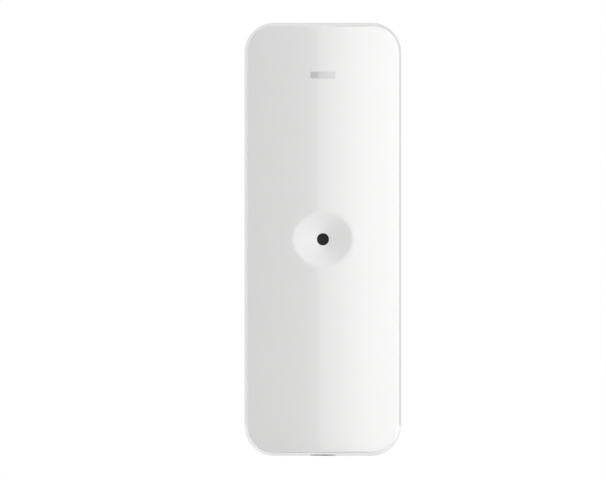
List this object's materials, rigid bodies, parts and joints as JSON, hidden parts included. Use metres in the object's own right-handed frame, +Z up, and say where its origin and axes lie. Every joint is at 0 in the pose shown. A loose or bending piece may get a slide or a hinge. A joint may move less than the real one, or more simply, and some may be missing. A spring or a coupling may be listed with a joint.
{
  "type": "glass break sensor",
  "caption": "Slim wireless glass break sensor: crowned white cover with a dished sound port and an indicator window, on a flat wall tray.",
  "frame": {"origin": "centre of the rear face, where it lies against the wall", "axes": "+Y into the wall, so the front faces -Y; +Z up the wall; +X to the right seen from the front"},
  "size_m": [0.0402, 0.023, 0.111],
  "materials": {
    "white_plastic": "satin",
    "clear_plastic": "gloss",
    "black_mesh": "matte",
    "black_rubber": "matte",
    "capsule_metal": "satin",
    "green_board": "satin",
    "cell_sleeve": "satin",
    "holder_plastic": "matte",
    "contact_metal": "satin",
    "screw_steel": "satin",
    "switch_plastic": "satin",
    "plunger_plastic": "satin",
    "chip_plastic": "matte",
    "shield_metal": "satin",
    "antenna_metal": "satin",
    "led_plastic": "gloss",
    "can_metal": "satin",
    "chip_ceramic": "matte"
  },
  "bodies": {
    "housing": {"front_cover": "white_plastic", "rear_cover": "white_plastic", "light_pipe": "clear_plastic", "microphone_mesh": "black_mesh", "microphone_boot": "black_rubber", "microphone": "capsule_metal", "main_board": "green_board", "battery_cell": "cell_sleeve", "battery_holder": "holder_plastic", "positive_contact": "contact_metal", "negative_contact": "contact_metal", "board_screws": "screw_steel", "case_screw": "screw_steel", "tamper_switch": "switch_plastic", "enrol_button": "switch_plastic", "microcontroller": "chip_plastic", "audio_amplifier": "chip_plastic", "radio_board": "green_board", "radio_shield": "shield_metal", "antenna": "antenna_metal", "status_led": "led_plastic", "crystal": "shield_metal", "capacitors": "can_metal", "header_pins": "holder_plastic", "chip_resistors": "chip_ceramic", "chip_capacitors": "chip_ceramic"},
    "tamper_plunger": {"tamper_plunger": "plunger_plastic"},
    "enrol_plunger": {"enrol_plunger": "plunger_plastic"}
  },
  "joints": [
    {"name": "tamper_press", "type": "slide", "parent": "housing", "child": "tamper_plunger", "axis": [0, -1, 0], "range_m": [0, 0.0003], "stiffness_N_per_m": 400, "springref_m": -0.0005},
    {"name": "enrol_press", "type": "slide", "parent": "housing", "child": "enrol_plunger", "axis": [0, -1, 0], "range_m": [0, 0.00025], "stiffness_N_per_m": 400, "springref_m": -0.0005}
  ]
}
